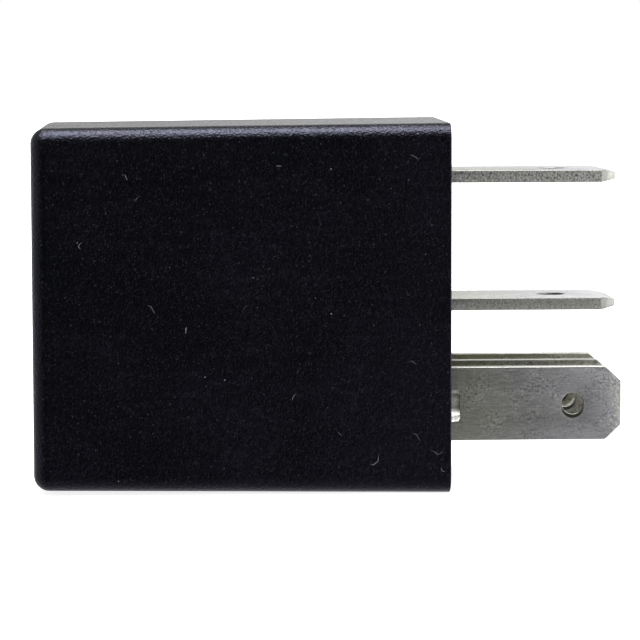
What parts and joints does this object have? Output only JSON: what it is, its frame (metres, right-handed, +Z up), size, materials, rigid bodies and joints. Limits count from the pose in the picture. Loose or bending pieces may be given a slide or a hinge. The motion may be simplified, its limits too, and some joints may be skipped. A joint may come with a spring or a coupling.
{
  "type": "automotive relay",
  "caption": "Plug-in automotive changeover relay: drafted black cover, flat tinned blades, and the coil, yoke, sprung armature and contacts inside.",
  "frame": {"origin": "on the surface that the relay lies on, below the middle of its length and depth", "axes": "+X the way the blades point, +Y away from the row's nearest blade through the depth, +Z up, across the height of the large side"},
  "size_m": [0.0382, 0.015, 0.0238],
  "materials": {
    "cover_plastic": "fine satin texture, as moulded",
    "base_plastic": "as moulded",
    "tinned_brass": "matt tin plating over rolled strip",
    "bobbin_plastic": "natural glass filled nylon",
    "coil_wire": "enamelled copper",
    "bare_steel": "nickel plated soft iron",
    "spring_copper": "rolled copper alloy",
    "contact_silver": "silver alloy",
    "rivet_copper": "copper alloy",
    "resistor_coat": "lacquered ceramic",
    "wire_tin": "tinned copper wire",
    "solder_tin": "solder"
  },
  "bodies": {
    "relay_body": {"cover": "cover_plastic", "base": "base_plastic", "terminal_30": "tinned_brass", "terminal_87": "tinned_brass", "terminal_87a": "tinned_brass", "terminal_85": "tinned_brass", "terminal_86": "tinned_brass", "bobbin": "bobbin_plastic", "winding": "coil_wire", "core": "bare_steel", "yoke": "bare_steel", "contact_no": "contact_silver", "contact_nc": "contact_silver", "yoke_rivet_1": "rivet_copper", "yoke_rivet_2": "rivet_copper", "resistor": "resistor_coat", "resistor_lead_85": "wire_tin", "resistor_lead_86": "wire_tin", "coil_lead_85": "coil_wire", "coil_lead_86": "coil_wire", "solder_85": "solder_tin", "solder_86": "solder_tin"},
    "armature_arm": {"armature": "bare_steel", "contact_spring": "spring_copper", "moving_contact": "contact_silver", "armature_rivet_1": "rivet_copper", "armature_rivet_2": "rivet_copper"}
  },
  "joints": [
    {"name": "armature_hinge", "type": "hinge", "parent": "relay_body", "child": "armature_arm", "pos_m": [-0.01214, 0, 0.0218], "axis": [0, -1, 0], "range_deg": [0, 2.6], "stiffness_Nm_per_rad": 0.15, "springref_deg": -2.29, "deforming": ["contact_spring"]}
  ]
}
